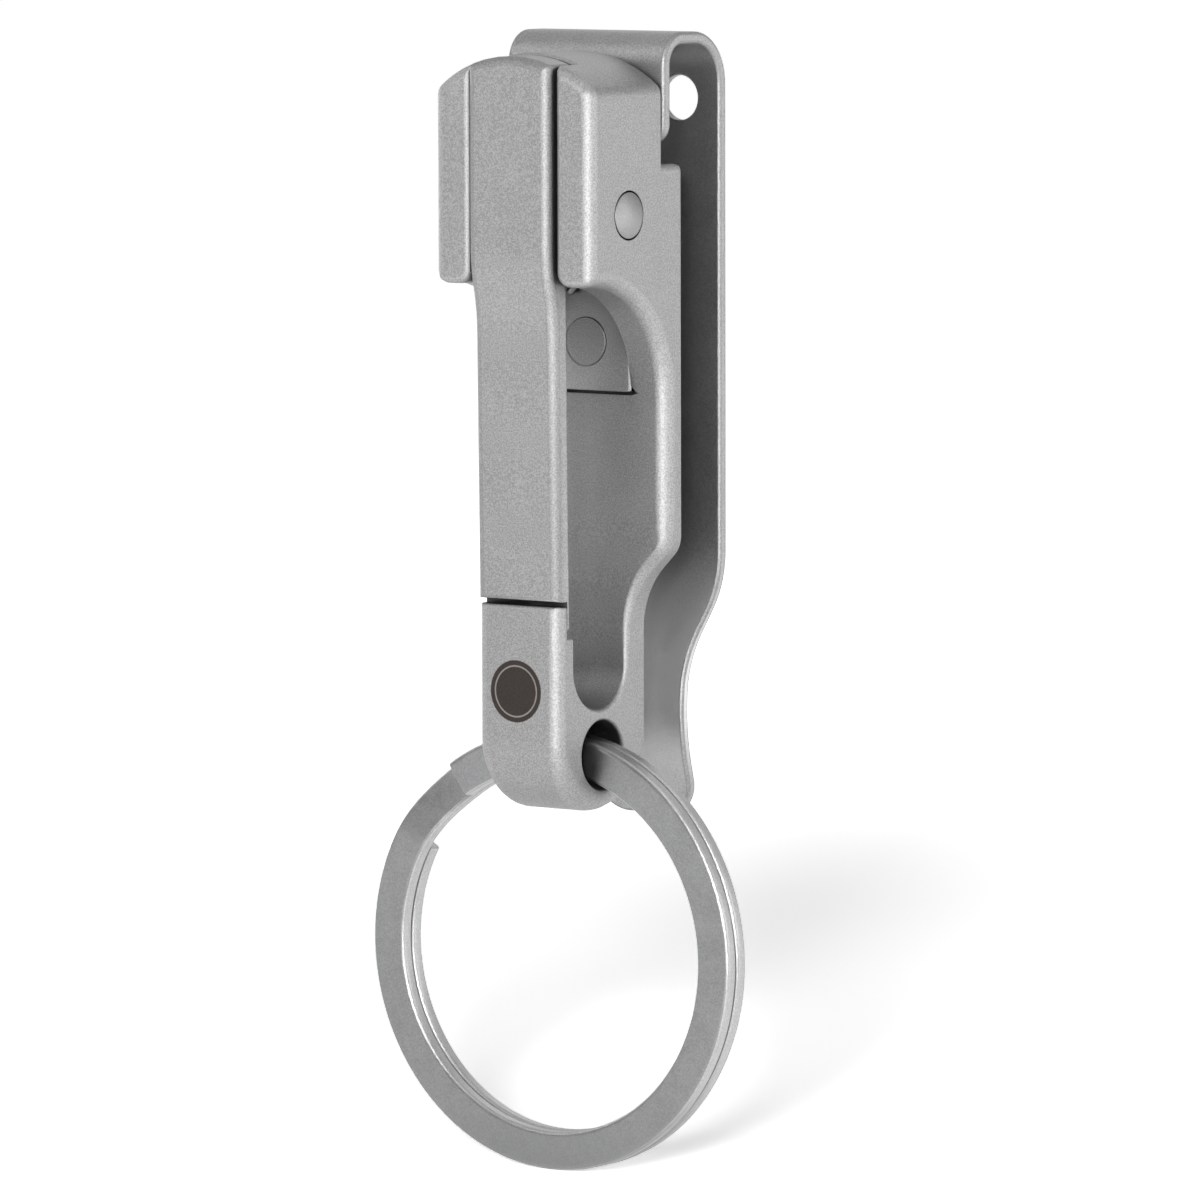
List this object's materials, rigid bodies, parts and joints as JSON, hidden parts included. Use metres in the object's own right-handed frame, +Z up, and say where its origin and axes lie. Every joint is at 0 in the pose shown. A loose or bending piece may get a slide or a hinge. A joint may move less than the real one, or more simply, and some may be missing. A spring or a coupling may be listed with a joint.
{
  "type": "belt key clip",
  "caption": "Belt clip with a folded sheet leg, a machined hook with a spring-loaded pivoting gate, and a split key ring hung through its foot.",
  "frame": {"origin": "middle of the belt slot's closed top, on the clip's centre plane and half way between the spine and the rear leg", "axes": "+X across the clip, to the right seen from the gate side; +Y from the gate back towards the belt and the wearer; +Z up"},
  "size_m": [0.0324, 0.018, 0.0836],
  "materials": {
    "body_steel": "bead-blasted, satin",
    "gate_steel": "bead-blasted, satin",
    "pin_steel": "turned and blasted",
    "spring_wire": "drawn wire, bright",
    "clip_sheet": "blasted sheet, satin",
    "rivet_steel": "blasted, flush",
    "ring_steel": "tumbled spring steel"
  },
  "bodies": {
    "clip_body": {"hook_body": "body_steel", "pivot_pin": "pin_steel", "gate_spring": "spring_wire", "belt_clip": "clip_sheet", "lower_rivet": "rivet_steel", "upper_rivet_left": "rivet_steel", "upper_rivet_right": "rivet_steel"},
    "gate": {"gate": "gate_steel"},
    "ring": {"split_ring": "ring_steel"}
  },
  "joints": [
    {"name": "gate_hinge", "type": "hinge", "parent": "clip_body", "child": "gate", "pos_m": [0, -0.00903, -0.0122], "axis": [1, 0, 0], "range_deg": [0, 12], "stiffness_Nm_per_rad": 0.06, "springref_deg": -40.11, "deforming": ["gate_spring"]},
    {"name": "ring_swing", "type": "hinge", "parent": "clip_body", "child": "ring", "pos_m": [0, -0.00773, -0.0518], "axis": [1, 0, 0], "range_deg": [-150, 135]}
  ]
}
